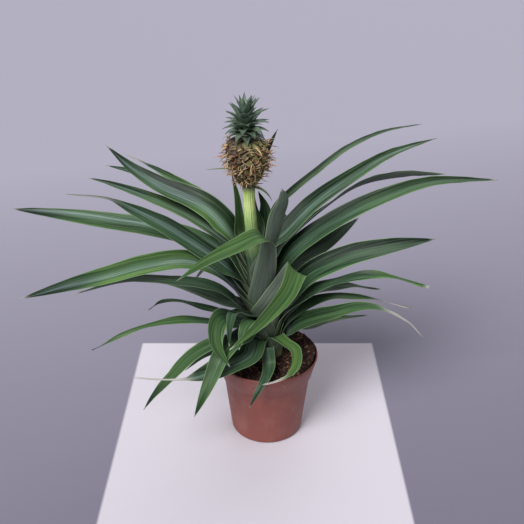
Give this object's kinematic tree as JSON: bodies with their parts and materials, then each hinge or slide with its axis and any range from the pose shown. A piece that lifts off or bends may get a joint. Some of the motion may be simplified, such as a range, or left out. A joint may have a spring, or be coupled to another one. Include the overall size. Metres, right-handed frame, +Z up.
{
  "type": "potted pineapple plant",
  "caption": "Potted pineapple plant: a rosette of long arching strap leaves, a stalk with a young crowned fruit, and a small terracotta-coloured nursery pot of peat",
  "frame": {"origin": "centre of the pot's flat underside, where it rests", "axes": "+Z is up, the widest spread of leaves runs along X, and -Y is the side that the folded front leaves face"},
  "size_m": [0.5554, 0.4104, 0.4206],
  "materials": {
    "pot": "matt terracotta-coloured moulded plastic",
    "soil": "crumbly dark peat with bark bits",
    "stem": "pale yellow-green waxy stalk",
    "fruit": "tan dried bracts over olive fruitlets",
    "crown": "dusty dark green leaves",
    "leaf": "waxy dark green with a silvery channel and bright margins"
  },
  "bodies": {
    "root": {"pot": "pot", "soil": "soil", "stem": "stem", "fruit": "fruit", "crown": "crown", "leaf_left_1": "leaf", "leaf_left_2": "leaf", "leaf_left_3": "leaf", "leaf_left_4": "leaf", "leaf_left_5": "leaf", "leaf_left_6": "leaf", "leaf_left_7": "leaf", "leaf_left_8": "leaf", "leaf_left_9": "leaf", "leaf_left_10": "leaf", "leaf_left_11": "leaf", "leaf_right_1": "leaf", "leaf_right_2": "leaf", "leaf_right_3": "leaf", "leaf_right_4": "leaf", "leaf_right_5": "leaf", "leaf_right_6": "leaf", "leaf_right_7": "leaf", "leaf_right_8": "leaf", "leaf_right_9": "leaf", "leaf_right_10": "leaf", "leaf_right_11": "leaf", "leaf_back_1": "leaf", "leaf_back_2": "leaf", "leaf_back_3": "leaf", "leaf_back_4": "leaf", "leaf_back_5": "leaf", "leaf_back_6": "leaf", "leaf_back_7": "leaf", "leaf_inner_1": "leaf", "leaf_inner_2": "leaf", "leaf_inner_3": "leaf", "leaf_inner_4": "leaf", "leaf_front_1": "leaf", "leaf_front_2": "leaf", "leaf_front_3": "leaf", "leaf_front_4": "leaf", "leaf_front_5": "leaf", "leaf_front_6": "leaf", "leaf_front_7": "leaf", "leaf_front_8": "leaf", "leaf_front_9": "leaf", "leaf_front_10": "leaf", "leaf_front_11": "leaf"}
  },
  "joints": []
}
